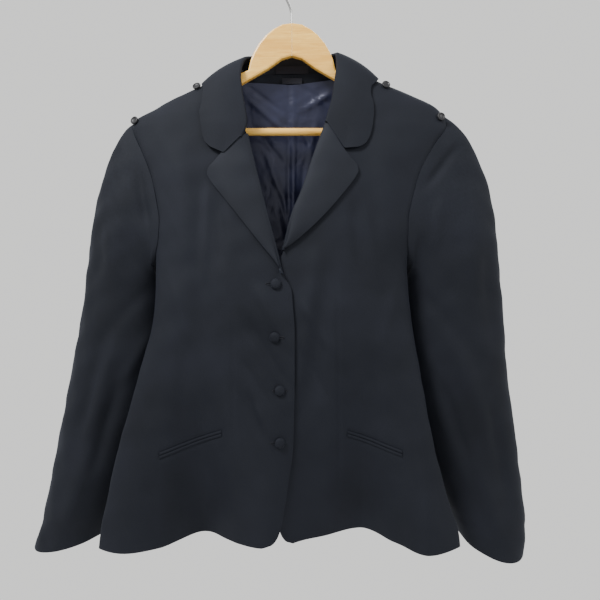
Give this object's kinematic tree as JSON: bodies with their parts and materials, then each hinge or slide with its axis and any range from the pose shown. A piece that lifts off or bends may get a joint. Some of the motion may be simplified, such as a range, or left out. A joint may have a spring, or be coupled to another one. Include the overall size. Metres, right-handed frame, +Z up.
{
  "type": "uniform jacket on a wooden hanger",
  "caption": "Dark single-breasted uniform jacket with notched lapels, long sleeves and welt pockets, hanging from a wooden hanger.",
  "frame": {"origin": "inside top of the hanger's hook, where a rod or a wall hook carries it", "axes": "+Z up along the hanging jacket, +Y from its front towards its back, +X towards the wearer's left"},
  "size_m": [0.7441, 0.1549, 0.8825],
  "materials": {
    "wool": "matt plain-woven wool",
    "satin": "smooth shiny lining satin",
    "label_cloth": "close-woven matt tape",
    "button_plastic": "polished",
    "varnished_wood": "clear satin varnish",
    "hook_steel": "plated wire"
  },
  "bodies": {
    "root": {"front_right": "wool", "front_left": "wool", "back_right": "wool", "back_left": "wool", "back_lining": "satin", "sleeve_right": "wool", "sleeve_left": "wool", "lapel_right": "wool", "lapel_left": "wool", "collar": "wool", "pocket_right_upper": "wool", "pocket_right_lower": "wool", "pocket_left_upper": "wool", "pocket_left_lower": "wool", "button_1": "wool", "button_2": "wool", "button_3": "wool", "button_4": "wool", "shoulder_button_1": "button_plastic", "shoulder_button_2": "button_plastic", "shoulder_button_3": "button_plastic", "shoulder_button_4": "button_plastic", "neck_label": "label_cloth", "size_tab": "label_cloth", "hanger_right": "varnished_wood", "hanger_left": "varnished_wood", "trouser_bar": "varnished_wood", "hook": "hook_steel"}
  },
  "joints": []
}
